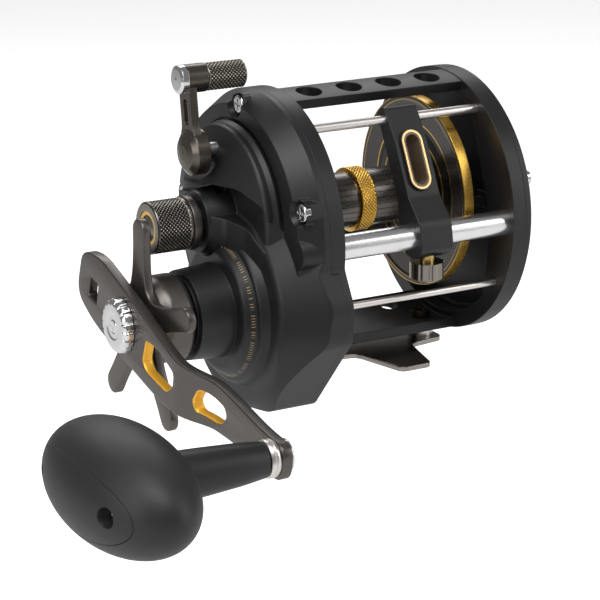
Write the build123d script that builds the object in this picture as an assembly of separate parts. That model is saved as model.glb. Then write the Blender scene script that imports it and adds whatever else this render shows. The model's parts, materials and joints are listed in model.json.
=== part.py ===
from build123d import *
import math
import os

# Level-wind trolling reel. Every dimension is in millimetres.
# The geometry below is laid out on the spool axis: X runs along the spool
# (+X to the tail side, -X to the handle side), -Y is the front, where the
# line leaves, and +Z is up. Each piece is moved by SHIFT when it is written,
# so that the written origin is the middle of the foot's seat face.
SHIFT = (16.0, 0.9, 51.0)

# ---------------------------------------------------------------- dimensions
FLANGE_R = 31.5          # spool flange, 63 mm across
FLANGE_T = 2.4
SPOOL_W = 47.0           # between the flanges
ARBOR_R = 9.2
SHAFT_R = 2.5

TY, TZ = -0.9, -3.5      # centre of the frame rings
RING_R = 43.5            # 87 mm across
X_PLATE = -52.0          # inner face of the drive plate
X_SEAM = -57.2           # seam between drive plate and drive cover
X_SEAM_LOW = -54.6       # the seam steps in round the gear housing
X_TAIL = 10.0            # inner face of the tail ring
X_TSEAM = 14.8           # seam between tail ring and tail cover
X_TOUT = 18.1

HY, HZ = -7.45, -27.27   # handle axis
WY, WZ = -38.3, -3.5     # worm axis
RY, RZ = -21.4, 30.4     # upper guide rail
PY, PZ = -34.2, -24.2    # lower pillar

TEETH_MAIN, TEETH_PINION = 43, 10
CENTRE = math.hypot(HY, HZ)
MOD_MAIN = 2 * CENTRE / (TEETH_MAIN + TEETH_PINION)
TEETH_SLEEVE, TEETH_IDLER, TEETH_WORM = 30, 30, 8
MOD_WORM = 0.8

HUB_R = 14.6
ARM_X0, ARM_X1 = -109.8, -106.4      # handle arm at the hub
ARM_DROP = 4.4                        # the arm's step towards the reel
KNOB_AT = (-94.1, -43.4)              # knob spindle axis
KNOB_C = (-152.6, -94.1, -42.8)       # middle of the grip

LEVER_AT = (-0.6, 22.5)               # clutch lever pivot axis
LEVER_TIP = (2.6, 45.0)

os.makedirs("parts", exist_ok=True)


# ------------------------------------------------------------------- helpers
def put(name, *solids):
    """Writes one named piece, or one group of identical pieces."""
    out = [s.moved(Location(SHIFT)) for s in solids]
    shape = out[0] if len(out) == 1 else Compound(children=out)
    shape.label = name
    export_step(shape, os.path.join("parts", name + ".step"))


def cyl(x0, x1, r, y=0.0, z=0.0):
    """Cylinder along X from x0 to x1."""
    return Pos((x0 + x1) / 2, y, z) * Rot(0, 90, 0) * Cylinder(r, abs(x1 - x0))


def ring(x0, x1, ro, ri, y=0.0, z=0.0):
    return cyl(x0, x1, ro, y, z) - cyl(x0 - 1, x1 + 1, ri, y, z)


def cone(x0, x1, r0, r1, y=0.0, z=0.0):
    """Frustum along X: radius r0 at x0 and r1 at x1 (x0 < x1)."""
    return Pos((x0 + x1) / 2, y, z) * Rot(0, 90, 0) * Cone(r0, r1, x1 - x0)


def block(x0, x1, y0, y1, z0, z1):
    return Pos((x0 + x1) / 2, (y0 + y1) / 2, (z0 + z1) / 2) * Box(
        x1 - x0, y1 - y0, z1 - z0
    )


def rounded(pts):
    """Closed outline from (a, b, fillet radius) corners, as a wire. A radius
    too large for its two sides is reduced until it fits."""
    n = len(pts)
    P = [Vector(p[0], p[1]) for p in pts]
    R = [float(p[2]) for p in pts]
    half = []
    for i in range(n):
        u, v = (P[i - 1] - P[i]).normalized(), (P[(i + 1) % n] - P[i]).normalized()
        half.append(math.acos(max(-1, min(1, u.dot(v)))) / 2)
    for _ in range(60):
        for i in range(n):
            j = (i + 1) % n
            need = R[i] / math.tan(half[i]) + R[j] / math.tan(half[j])
            room = 0.98 * (P[j] - P[i]).length
            if need > room:
                R[i] *= room / need
                R[j] *= room / need
    entry, exit_, mids = [], [], []
    for i in range(n):
        p, r = P[i], R[i]
        u, v = (P[i - 1] - p).normalized(), (P[(i + 1) % n] - p).normalized()
        if r <= 0.01 or half[i] > math.pi / 2 - 0.004:
            entry.append(p)
            exit_.append(p)
            mids.append(None)
            continue
        t = r / math.tan(half[i])
        m = (u + v).normalized()
        centre = p + m * (r / math.sin(half[i]))
        entry.append(p + u * t)
        exit_.append(p + v * t)
        mids.append(centre - m * r)
    edges = []
    for i in range(n):
        if mids[i] is not None:
            edges.append(ThreePointArc(entry[i], mids[i], exit_[i]))
        q = entry[(i + 1) % n]
        if (q - exit_[i]).length > 1e-6:
            edges.append(Line(exit_[i], q))
    return Wire(edges)


def plane_x(x):
    """Sketch plane with its own x along Y and its own y along Z."""
    return Plane(origin=(x, 0, 0), x_dir=(0, 1, 0), z_dir=(1, 0, 0))


def prism(wire, x0, x1):
    """Solid from a closed YZ outline, between x0 and x1."""
    face = plane_x(min(x0, x1)) * Face(wire)
    return extrude(face, amount=abs(x1 - x0), dir=(1, 0, 0))


def turned(profile, y=0.0, z=0.0):
    """Solid of revolution about X from (x, radius) points."""
    pts = [(x, r) for x, r in profile]
    face = make_face(Polyline(*pts, close=True).edges())
    return Pos(0, y, z) * revolve(face, axis=Axis.X)


def turned_soft(profile, y=0.0, z=0.0):
    """Solid of revolution about X from (x, radius, fillet radius) points."""
    return Pos(0, y, z) * revolve(Face(rounded(profile)), axis=Axis.X)


def gear(teeth, mod, x0, x1, y, z, phase, add=0.85, ded=1.12, lash=0.16):
    """Spur gear along X, 25 degree pressure angle. phase is where a tooth's
    middle points, in radians from +Y towards +Z."""
    pa = math.radians(25)
    rp = mod * teeth / 2
    rb, ra, rf = rp * math.cos(pa), rp + add * mod, rp - ded * mod
    half = math.pi / (2 * teeth) - lash / (2 * rp) + math.tan(pa) - pa
    flank = []
    if rf < rb:
        flank.append((rf, half))
    start = max(rf, rb)
    for i in range(6):
        r = start + (ra - start) * i / 5
        k = math.acos(min(1.0, rb / r))
        flank.append((r, half - (math.tan(k) - k)))
    pts = []
    for t in range(teeth):
        c = phase + 2 * math.pi * t / teeth
        for r, h in flank:
            pts.append((r * math.cos(c - h), r * math.sin(c - h)))
        for r, h in reversed(flank):
            pts.append((r * math.cos(c + h), r * math.sin(c + h)))
    w = Wire(Polyline(*pts, close=True).edges())
    face = Plane(origin=(x0, y, z), x_dir=(0, 1, 0), z_dir=(1, 0, 0)) * Face(w)
    return extrude(face, amount=x1 - x0, dir=(1, 0, 0))


def phillips(x, y, z, r, depth, toward=-1):
    """Cross recess cut into a screw head that faces -X (or +X)."""
    w = r * 0.3
    a = block(x - depth, x + depth, y - r * 0.62, y + r * 0.62, z - w / 2, z + w / 2)
    b = block(x - depth, x + depth, y - w / 2, y + w / 2, z - r * 0.62, z + r * 0.62)
    return Pos(0, 0, 0) * (a + b)


def polar(r, deg, y=0.0, z=0.0):
    a = math.radians(deg)
    return (y + r * math.cos(a), z + r * math.sin(a))


# --------------------------------------------------- outline of the drive side
LOBE = [
    (-42.6, -2.0, 0),
    (-44.3, -9.0, 9),
    (-49.9, -19.0, 10),
    (-49.3, -30.4, 9),
    (-25.4, -58.3, 7),
    (4.0, -58.3, 14),
    (27.5, -40.0, 6),
    (20.0, -10.0, 0),
]


def outline(x0, x1, inset=0.0):
    """Drive-side body between x0 and x1: the ring's disc plus the gear lobe."""
    disc = cyl(x0, x1, RING_R - inset, TY, TZ)
    w = rounded(LOBE)
    if inset:
        face = offset(Face(w), amount=-inset)
        lobe = extrude(plane_x(min(x0, x1)) * face, amount=abs(x1 - x0), dir=(1, 0, 0))
    else:
        lobe = prism(w, x0, x1)
    return disc + lobe


# ----------------------------------------------------------------------- frame
plate = outline(X_SEAM, X_PLATE)
plate -= cyl(X_SEAM - 1, X_PLATE + 1, FLANGE_R + 1.0)
# the plate is thinner round the gear housing, where the cover steps in
plate -= block(X_SEAM - 1, X_SEAM_LOW, -60, 60, -70, -9.5) - cyl(
    X_SEAM - 2, X_SEAM_LOW + 1, FLANGE_R + 3.2
)
# the housing's floor stays closed; the plate is pierced only for the spool
tail = cyl(X_TAIL, X_TSEAM, RING_R, TY, TZ) - cyl(X_TAIL - 1, X_TSEAM + 1, 38.0, TY, TZ)


def bar(a0, a1, x0, x1, ro=RING_R - 0.3, ri=40.0):
    """Curved strip of the frame's barrel between two angles."""
    w = 70
    mid, half = math.radians((a0 + a1) / 2), math.radians((a1 - a0) / 2)
    p = [(TY, TZ)]
    for k in (-1, -0.5, 0, 0.5, 1):
        p.append((TY + w * math.cos(mid + k * half), TZ + w * math.sin(mid + k * half)))
    wedge = prism(Wire(Polyline(*p, close=True).edges()), x0, x1)
    return (cyl(x0, x1, ro, TY, TZ) - cyl(x0 - 1, x1 + 1, ri, TY, TZ)) & wedge


top_bar = bar(91.0, 107.0, X_PLATE - 1, X_TAIL + 1)
HOLE_X = (-43.6, -29.0, -14.4, 0.2)
HOLE_A = math.radians(99)
for hx in HOLE_X:
    cy = TY + 42 * math.cos(HOLE_A)
    cz = TZ + 42 * math.sin(HOLE_A)
    h = Pos(hx, cy, cz) * Rot(math.degrees(HOLE_A) - 90, 0, 0) * Cylinder(4.2, 12)
    top_bar -= h
bottom_bar = bar(255.5, 294.5, X_PLATE - 1, X_TAIL + 1)
for hx in (-30.0, -2.0):
    cy, cz = TY + 42 * math.cos(math.radians(287)), TZ + 42 * math.sin(math.radians(287))
    bottom_bar -= Pos(hx, cy, cz) * Rot(287 - 270, 0, 0) * Cylinder(3.2, 12)
rear_bar = bar(330.0, 342.0, X_PLATE - 1, X_TAIL + 1)
FOOT_SCREWS = ((3.4, -0.9), (-35.4, -0.9))
for fx, fy in FOOT_SCREWS:
    bottom_bar -= Pos(fx, fy, -46) * Cylinder(1.7, 14)
frame = plate + tail + top_bar + bottom_bar + rear_bar
# sockets for the rails, the pillar and the worm tube, in both side plates
SOCK = ((RY, RZ, 1.5), (PY, PZ, 1.1))
# a pad in the tail ring that carries the worm tube and the rails
pad = prism(rounded([(-26, 36, 2), (-46, 8, 3), (-46, -14, 3), (-40, -31, 2), (-28, -31, 2), (-31, -4, 4), (-17, 36, 2)]), X_TAIL, X_TSEAM)
pad = pad & cyl(X_TAIL, X_TSEAM, RING_R, TY, TZ)
frame += pad
for sy, sz, sr in SOCK:
    frame -= cyl(X_PLATE - 3.0, X_PLATE + 1, sr, sy, sz)
    frame -= cyl(X_TAIL - 1, X_TAIL + 3.5, sr, sy, sz)
frame -= cyl(X_SEAM - 2, X_PLATE + 1, 4.0, WY, WZ)
frame -= cyl(X_TAIL - 1, X_TAIL + 3.5, 4.0, WY, WZ)
COVER_SCREWS = ((0.2, 35.6), (-39.2, 9.5), (38.6, -1.5), (22.0, -40.0))
SCREW_SEAT = -62.6       # floor of the pockets the screws' heads sit in
for sy, sz in COVER_SCREWS:
    frame -= cyl(X_SEAM - 2, X_PLATE + 1, 1.25, sy, sz)
TAIL_SCREWS = tuple(polar(40.4, a, TY, TZ) for a in (70, 160, 250, 340))
for sy, sz in TAIL_SCREWS:
    frame -= cyl(X_TSEAM - 3.5, X_TSEAM + 1, 1.2, sy, sz)
put("frame", frame)

# ------------------------------------------------------------ drive side cover
rim = outline(-66.0, X_SEAM)
rim = rim & (
    cone(-66.0, -59.0, 39.3, 43.6, TY, TZ)
    + cyl(-59.0, X_SEAM + 0.01, 44.0, TY, TZ)
    + cone(-66.0, X_SEAM, 36.2, 45.0, HY, HZ)
)
low_rim = outline(X_SEAM, X_SEAM_LOW) & (
    block(X_SEAM, X_SEAM_LOW, -60, 60, -70, -9.6) - cyl(X_SEAM - 2, X_SEAM_LOW + 1, FLANGE_R + 3.3)
)
housing = outline(-71.4, -60.0) & turned_soft(
    [(-71.4, 0, 0), (-71.4, 31.0, 4.0), (-60.0, 42.3, 0), (-60.0, 0, 0)], HY, HZ
)
boss1 = turned_soft([(-74.2, 0, 0), (-74.2, 23.6, 1.6), (-71.4, 25.2, 0), (-70.0, 25.2, 0), (-70.0, 0, 0)], HY, HZ)
boss2 = turned_soft([(-77.8, 0, 0), (-77.8, 19.6, 2.2), (-74.0, 22.4, 0), (-73.0, 22.4, 0), (-73.0, 0, 0)], HY, HZ)
hub = cone(-89.4, -77.5, 14.3, 15.1, HY, HZ)
plateau = turned_soft([(-79.6, 0, 0), (-79.6, 10, 12), (-70.6, 29.8, 1.2), (-65.0, 29.8, 0), (-65.0, 0, 0)])
PLATEAU_EDGE = [(-60, -12, 0), (-31.6, 0.6, 6), (-27.4, 9.0, 6), (-17.0, 13.2, 12), (-5.0, 13.0, 10), (14.0, 7.6, 8), (60, 0, 0), (60, 60, 0), (-60, 60, 0)]
plateau = plateau & prism(rounded(PLATEAU_EDGE), -90, -60)
# the cast-control boss runs out into the housing in a wide flare, below a
# ridge that follows the lower edge of the raised face
knob_boss = cone(-80.6, -66.0, 9.8, 11.6)
flare = turned_soft([(-79.8, 0, 0), (-79.8, 9.8, 0), (-76.4, 12.6, 5), (-73.2, 20.0, 8), (-71.2, 30.0, 6), (-66.0, 33.0, 0), (-66.0, 0, 0)])
ridge = [(-60, -22, 0), (-27.0, -3.6, 8), (-20.6, 1.4, 12), (-9.6, 3.6, 10), (3.0, 5.0, 0), (16.0, 5.6, 6), (40.0, 0.0, 0), (40, -30, 0), (-60, -30, 0)]
knob_boss += flare & prism(rounded(ridge), -90, -60) & (cyl(-90, -60, 36.0, HY, HZ) + cyl(-90, -60, 29.0))
# floor of the valley between the ridge and the raised face
valley = turned_soft([(-70.6, 0, 0), (-70.6, 28.4, 3.0), (-65.0, 31.8, 0), (-65.0, 0, 0)])
knob_boss += valley & cyl(-90, -60, 39.0, TY, TZ)
# swelling over the worm's gear
knob_boss += cone(-66.0, X_SEAM, 4.9, 6.2, WY, WZ) & cyl(-66.0, X_SEAM, RING_R, TY, TZ)
cover = rim + low_rim + housing + boss1 + boss2 + hub + plateau + knob_boss
# the groove round the raised face
cover -= ring(-66.8, -64.6, 31.2, 29.8) & prism(rounded(PLATEAU_EDGE), -90, -60)
# the recess in which the clutch lever swings back
recess = prism(rounded([(-5.2, 60, 0), (-5.2, 17.0, 7), (3.0, 11.0, 6), (60, 5.0, 0), (60, 60, 0)]), -95, -75.2)
cover -= recess & cyl(-95, -60, 50)
# hollow inside: gear chamber, wall 2 to 3 mm
cavity = (
    outline(-63.6, X_SEAM + 0.02, inset=2.6) & (cone(-63.6, X_SEAM + 0.02, 36.5, 41.0, TY, TZ) + cone(-63.6, X_SEAM + 0.02, 35.6, 42.0, HY, HZ))
)
cavity += outline(-68.6, -60.0, inset=2.6) & cone(-68.6, -60.0, 28.4, 38.4, HY, HZ)
cavity += cyl(-69.7, -62.0, 24.6, HY, HZ)
cavity += cyl(-72.0, -62.0, 21.6, HY, HZ)
cavity += cyl(-75.4, -62.0, 19.0, HY, HZ)
cavity += cyl(-68.6, -62.0, 27.0)
cavity += cyl(-77.6, -62.0, 8.2)
room = turned([(-74.7, 0), (-74.7, 20.0), (-69.0, 26.5), (-62, 26.5), (-62, 0)])
room = room & (prism(rounded([(-12.6, 13.6, 1), (-4.8, 13.0, 0), (-4.8, 4.0, 0), (4.8, 4.0, 0), (4.8, 12.4, 0), (12.5, 12.0, 1), (12.5, 24.5, 2), (-12.6, 24.5, 2)]), -80, -60))
cavity += room
cavity += cyl(-64.4, -57.1, 4.5, WY, WZ)
low_cav = outline(X_SEAM - 0.5, X_SEAM_LOW + 1, inset=2.6)
cavity += low_cav
cover -= cavity
# hub bore for the roller bearing and the seal
cover -= cyl(-88.0, -70, 10.0, HY, HZ)
cover -= cyl(-95, -70, 7.2, HY, HZ)
cover -= cyl(-95, -88.4, 12.4, HY, HZ)
# bearing seat and threaded neck for the cast-control cap
cover -= cyl(-80.4, -70, 4.6)
cover -= cyl(-90, -79, 4.0)
neck = ring(-88.0, -80.4, 6.2, 4.0)
cover += neck
# clutch lever pivot bore
cover -= cyl(-90, -60, 2.55, *LEVER_AT)
# screw holes and their deep counterbores
for sy, sz in COVER_SCREWS:
    post = (cyl(-64.5, X_SEAM, 3.6, sy, sz) & outline(-64.5, X_SEAM)) - cyl(
        X_SEAM - 20, X_SEAM + 5, FLANGE_R + 1.0
    )
    cover += post
    # a thicker seat under the screw's head, clear of the bridge
    cover += cyl(-64.5, -60.2, 4.3, sy, sz) & outline(-64.5, -60.0, inset=1.4)
for sy, sz in COVER_SCREWS:
    cover -= cyl(-90, -60, 1.6, sy, sz)
    cover -= cyl(-60.5, -50, 1.6, sy, sz)
    cover -= cyl(-95, SCREW_SEAT, 3.3, sy, sz)
    cover -= cone(-70.0, SCREW_SEAT - 1.2, 6.2, 3.3, sy, sz)
put("drive_side_cover", cover)

screws = []
for sy, sz in COVER_SCREWS:
    s = cyl(SCREW_SEAT, X_PLATE - 0.6, 1.25, sy, sz) + turned_soft(
        [(SCREW_SEAT - 2.2, 0, 0), (SCREW_SEAT - 2.2, 3.0, 0.7), (SCREW_SEAT, 3.0, 0), (SCREW_SEAT, 0, 0)], sy, sz
    )
    s -= phillips(SCREW_SEAT - 2.2, sy, sz, 3.0, 1.1)
    screws.append(s)
put("cover_screws", *screws)

# ------------------------------------------------------------- tail side cover
tc = turned([(X_TSEAM, 0), (X_TSEAM, 43.4), (16.6, 43.4), (X_TOUT, 41.6), (X_TOUT, 0)], TY, TZ)
tc -= turned([(X_TSEAM - 0.01, 0), (X_TSEAM - 0.01, 36.5), (16.2, 36.5), (16.2, 0)], TY, TZ)
tc += ring(9.4, 16.6, 8.0, 5.0)
tc -= cyl(9.0, 14.6, 5.0)
for sy, sz in TAIL_SCREWS:
    tc += cyl(X_TSEAM, 16.6, 2.8, sy, sz) & cyl(X_TSEAM, 16.6, 43.3, TY, TZ)
for sy, sz in TAIL_SCREWS:
    tc -= cyl(X_TSEAM - 1, 20, 1.35, sy, sz)
    tc -= cyl(17.3, 20, 2.5, sy, sz)
# slot for the clicker button, 20 mm from the spool axis
CLICK = (-21.0, 0.0)
tc -= block(14, 20, CLICK[0] - 2.2, CLICK[0] + 5.8, -1.7, 1.7)
put("tail_side_cover", tc)

ts = []
for sy, sz in TAIL_SCREWS:
    s = cyl(X_TSEAM - 3.0, 17.3, 1.2, sy, sz) + cyl(17.3, 18.6, 2.3, sy, sz)
    s -= phillips(18.6, sy, sz, 2.3, 0.7)
    ts.append(s)
put("tail_cover_screws", *ts)

# ------------------------------------------------------------------- reel foot
FX, FY = -16.0, -0.9
foot_pts = [
    (FX - 24.3, FY - 6.5, 3), (FX - 10.5, FY - 8.5, 4), (FX - 5.6, FY - 28.6, 2.5), (FX + 5.6, FY - 28.6, 2.5),
    (FX + 10.5, FY - 8.5, 4), (FX + 24.3, FY - 6.5, 3), (FX + 24.3, FY + 6.5, 3), (FX + 10.5, FY + 8.5, 4),
    (FX + 5.6, FY + 28.6, 2.5), (FX - 5.6, FY + 28.6, 2.5), (FX - 10.5, FY + 8.5, 4), (FX - 24.3, FY + 6.5, 3),
]
foot = extrude(Plane.XY.offset(-51.0) * Face(rounded(foot_pts)), amount=1.5, dir=(0, 0, 1))
for fx, fy in FOOT_SCREWS:
    foot -= Pos(fx, fy, -50) * Cylinder(1.7, 8)
put("reel_foot", foot)

Z_BAR = TZ - RING_R      # lowest line of the bottom bar
spacers = []
for fx, fy in FOOT_SCREWS:
    s = Pos(fx, fy, (Z_BAR - 0.2 - 49.5) / 2 + 0.4) * Cylinder(4.2, (Z_BAR + 0.8 + 49.5 - 0.2))
    s = Pos(fx, fy, (-49.5 - 46.2) / 2) * Cylinder(4.2, 3.3)
    s -= cyl(fx - 10, fx + 10, RING_R, TY, TZ)
    s -= Pos(fx, fy, -48) * Cylinder(1.7, 12)
    spacers.append(s)
put("foot_spacers", *spacers)

fs = []
for fx, fy in FOOT_SCREWS:
    s = Pos(fx, fy, -46.9) * Cylinder(1.6, 7.8)
    s += Pos(fx, fy, -42.1) * Cylinder(3.2, 1.8)
    s -= Pos(fx, fy, -41.2) * Box(3.4, 0.9, 1.2)
    s -= Pos(fx, fy, -41.2) * Box(0.9, 3.4, 1.2)
    fs.append(s)
# flats under the screw heads, so that each seats on the curved bar
put("foot_screws", *fs)

# ------------------------------------------------------- rails, tube and pillar
put("guide_rail", cyl(X_PLATE - 3.0, X_TAIL + 3.5, 1.5, RY, RZ))
put("lower_pillar", cyl(X_PLATE - 3.0, X_TAIL + 3.5, 1.1, PY, PZ))
worm_tube = ring(X_SEAM, X_TAIL + 3.5, 4.0, 3.1, WY, WZ)
worm_tube -= block(-46.0, 4.0, WY - 1.5, WY + 1.5, WZ - 6, WZ)
put("worm_tube", worm_tube)

# ---------------------------------------------------------------- gear bridge
# plate inside the drive cover; it carries the handle shaft, the yoke's posts,
# the idler's post and the worm's bush
bridge_w = rounded([(-36.5, 4, 5), (-36.6, -12, 6), (-45.0, -22, 6), (-44.0, -31, 6), (-24, -53.5, 6), (0, -53.5, 10), (20, -38, 6), (24, -12, 6), (20, 20, 8), (-10, 27, 8), (-30, 20, 8)])
bridge = prism(bridge_w, -59.4, -57.4)
bridge = bridge & (cone(-59.4, -57.0, 39.2, 41.4, HY, HZ) + cyl(-59.4, -57.4, 35.0, TY, TZ))
bridge -= cyl(-60, -57, 3.2)
bridge -= cyl(-60, -57, 5.5, HY, HZ)
bridge -= cyl(-60, -57, 4.7, WY, WZ)
# the idler sits where it meshes with both the handle gear and the worm gear
D_HI = MOD_WORM * (TEETH_SLEEVE + TEETH_IDLER) / 2
D_IW = MOD_WORM * (TEETH_IDLER + TEETH_WORM) / 2
D_HW = math.hypot(WY - HY, WZ - HZ)
hwy, hwz = (WY - HY) / D_HW, (WZ - HZ) / D_HW
along = (D_HI**2 - D_IW**2 + D_HW**2) / (2 * D_HW)
across = math.sqrt(D_HI**2 - along**2)
IDL = (HY + along * hwy - across * hwz, HZ + along * hwz + across * hwy)
POSTS = ((6.4, 16.2), (-6.6, 16.4))
for py, pz in POSTS:
    bridge -= cyl(-60, -57, 1.5, py, pz)
bridge += cyl(-62.6, -57.4, 1.6, *IDL)
bridge += ring(-63.2, -62.6, 2.4, 0.5, *IDL)
DOG = (12.2, -36.5)
bridge -= cyl(-60, -57, 1.4, *DOG)
for sy, sz in COVER_SCREWS:
    bridge -= cyl(-60, -57, 4.2, sy, sz)
BRIDGE_SCREWS = ((-20.0, 18.0), (15.0, -28.0), (-34.0, -36.0))
for sy, sz in BRIDGE_SCREWS:
    bridge -= cyl(-60, -57, 1.1, sy, sz)
put("gear_bridge", bridge)
print("bridge solids", len(bridge.solids()))

put("yoke_posts", *[cyl(-74.4, -57.4, 1.5, py, pz) for py, pz in POSTS])

# ---------------------------------------------------------------- handle train
PH_M = math.atan2(-HZ, -HY)          # from the handle axis to the spool axis
main = gear(TEETH_MAIN, MOD_MAIN, -69.2, -66.4, HY, HZ, PH_M)
main -= cyl(-70, -66, 5.05, HY, HZ)
main -= ring(-70, -67.8, 18.5, 8.0, HY, HZ)
put("main_gear", main)
SLEEVE_R = 5.0
sleeve = cyl(ARM_X1, -57.6, SLEEVE_R, HY, HZ)
sleeve += block(ARM_X0, ARM_X1, HY - 3.4, HY + 3.4, HZ - 2.4, HZ + 2.4) & cyl(ARM_X0, ARM_X1, 3.4, HY, HZ)
sleeve += cyl(-112.2, ARM_X0, 2.4, HY, HZ)
sleeve += cyl(-66.4, -65.4, 7.6, HY, HZ)
put("handle_shaft", sleeve)
sg = gear(TEETH_SLEEVE, MOD_WORM, -62.2, -60.2, HY, HZ, math.atan2(IDL[1] - HZ, IDL[0] - HY)) - cyl(-63, -59, SLEEVE_R, HY, HZ)
put("level_wind_drive_gear", sg)
ratchet_pts = []
NR = 8
for k in range(NR):
    a = 2 * math.pi * k / NR
    ratchet_pts += [(HY + 11.0 * math.cos(a), HZ + 11.0 * math.sin(a)), (HY + 8.4 * math.cos(a + 0.10), HZ + 8.4 * math.sin(a + 0.10)), (HY + 8.6 * math.cos(a + 0.40), HZ + 8.6 * math.sin(a + 0.40))]
ratchet = prism(Wire(Polyline(*ratchet_pts, close=True).edges()), -64.8, -63.2) - cyl(-66, -62, SLEEVE_R, HY, HZ)
put("anti_reverse_ratchet", ratchet)
put("drag_washers", ring(-68.8, -67.8, 18.2, 8.3, HY, HZ), ring(-70.8, -69.8, 18.2, 5.3, HY, HZ), ring(-72.8, -71.8, 18.2, 5.3, HY, HZ))
put("drag_plates", ring(-69.8, -69.2, 18.2, SLEEVE_R + 0.05, HY, HZ), ring(-71.8, -70.8, 18.2, SLEEVE_R + 0.05, HY, HZ), ring(-73.8, -72.8, 18.2, SLEEVE_R + 0.05, HY, HZ))
put("inner_handle_bearing", ring(-59.4, -57.6, 5.5, SLEEVE_R + 0.03, HY, HZ))
put("hub_roller_bearing", ring(-87.6, -79.6, 10.0, 7.6, HY, HZ))
put("hub_seal", ring(-90.0, -88.4, 12.4, 7.8, HY, HZ))

# idler and worm gears of the level wind
ang_hi = math.atan2(IDL[1] - HZ, IDL[0] - HY)
ang_ih = ang_hi + math.pi
idl_phase = ang_ih + math.pi / TEETH_IDLER
idler = gear(TEETH_IDLER, MOD_WORM, -62.2, -60.2, IDL[0], IDL[1], idl_phase) - cyl(-63, -59, 1.65, *IDL)
put("idler_gear", idler)
ang_iw = math.atan2(WZ - IDL[1], WY - IDL[0])
step = 2 * math.pi / TEETH_IDLER
delta = (idl_phase - ang_iw + step / 2) % step - step / 2      # idler tooth nearest the worm
worm_phase = ang_iw + math.pi - delta * TEETH_IDLER / TEETH_WORM + math.pi / TEETH_WORM
wg = gear(TEETH_WORM, MOD_WORM, -62.2, -60.2, WY, WZ, worm_phase) - cyl(-63, -59, 1.6, WY, WZ)
put("worm_gear", wg)

# worm shaft: journals at both ends and a groove that spirals each way
worm = cyl(-47.5, 5.5, 2.7, WY, WZ) + cyl(-62.8, -47.5, 1.6, WY, WZ) + cyl(5.5, 13.0, 1.6, WY, WZ)
for hand in (1, -1):
    for k in range(9):
        x = -43.0 + k * 5.6
        cut = Pos(x, WY, WZ) * Rot(0, 0, hand * 28) * Rot(0, 90, 0) * (Cylinder(3.4, 1.1) - Cylinder(2.05, 2))
        worm -= cut
put("worm_shaft", worm)
put("worm_bushes", ring(-58.2, -57.2, 3.7, 1.66, WY, WZ) + ring(-57.2, -50.0, 3.1, 1.66, WY, WZ), ring(8.0, 13.4, 3.1, 1.66, WY, WZ))

# ------------------------------------------------------------------- star drag
STAR_X0, STAR_X1 = -104.4, -101.6
star = turned([(-91.2, 8.2), (-91.2, 13.4), (-92.4, 13.9), (-100.2, 13.9), (STAR_X1, 12.6), (STAR_X0, 11.5), (STAR_X0, 4.6), (-93.6, 4.6), (-93.6, 8.2)], HY, HZ)
star -= cyl(-93.6, -92, 8.2, HY, HZ)


def sweep_arm(a_deg, reach=35.5):
    """One swept-back arm of the star wheel, as a bent tapered paddle."""
    a = math.radians(a_deg)

    def at(r, off):
        t = a + off
        return (HY + r * math.cos(t), HZ + r * math.sin(t))

    left = [at(9, 0.60), at(16, 0.34), at(23, 0.22), at(30, 0.165), at(34, 0.115), at(reach, 0.04)]
    right = [at(reach, -0.04), at(34, -0.115), at(30, -0.165), at(23, -0.22), at(16, -0.30), at(9, -0.55)]
    return prism(Wire(Polyline(*left, *right, close=True).edges()), STAR_X0, STAR_X1)


for k in range(5):
    star += sweep_arm(92 + 72 * k)
star -= cyl(STAR_X0 - 1, -90, 5.06, HY, HZ)
put("star_drag", star)
put("drag_spring_washers", ring(-78.9, -78.0, 7.0, 5.3, HY, HZ), ring(-77.9, -77.0, 7.0, 5.3, HY, HZ))
put("drag_sleeve", ring(-93.5, -79.0, 7.0, 5.08, HY, HZ))
put("drag_pressure_cup", ring(-76.9, -73.9, 9.4, 5.08, HY, HZ))

# ------------------------------------------------------------------ handle arm
DIR = math.atan2(KNOB_AT[1] - HZ, KNOB_AT[0] - HY)
EY, EZ = math.cos(DIR), math.sin(DIR)
NY, NZ = EZ, -EY                     # up, square to the arm


def on_arm(u, v):
    return (HY + u * EY + v * NY, HZ + u * EZ + v * NZ)


ARM_OUT = [
    (-31.2, 10.6, 7), (-33.2, -4.0, 6), (-20.0, -8.8, 20), (0.0, -10.9, 30), (24.0, -12.7, 30), (40.0, -12.0, 20),
    (56.0, -8.9, 25), (76.0, -6.3, 20), (94.1, -6.0, 5.9), (94.1, 5.9, 5.9), (80.0, 4.9, 12), (58.0, 5.8, 20), (36.0, 4.9, 20),
    (22.0, 7.6, 30), (0.0, 11.8, 30), (-18.0, 14.5, 9), (-25.5, 13.4, 6),
]
outer = [on_arm(u, v) + (r,) for u, v, r in ARM_OUT]
band = prism(rounded(outer), -112, -98)
# side profile of the arm: flat at the hub, a step of ARM_DROP, flat to the knob
side = [
    (-45, ARM_X0), (36, ARM_X0), (54, ARM_X0 + ARM_DROP), (100, ARM_X0 + ARM_DROP),
    (100, ARM_X1 + ARM_DROP), (54, ARM_X1 + ARM_DROP), (36, ARM_X1), (-45, ARM_X1),
]
arm_plane = Plane(origin=(0, HY, HZ), x_dir=(0, EY, EZ), z_dir=(0, NY, NZ))
sw = Wire(Polyline(*side, close=True).edges())
prof = Face(sw)
slab = extrude(arm_plane * prof, amount=40, both=True)
arm = band & slab
# three cutouts: an open diamond in the short end and two framed ones
def cutout(pts, r):
    return prism(rounded([on_arm(u, v) + (r,) for u, v in pts]), -115, -95)


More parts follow.
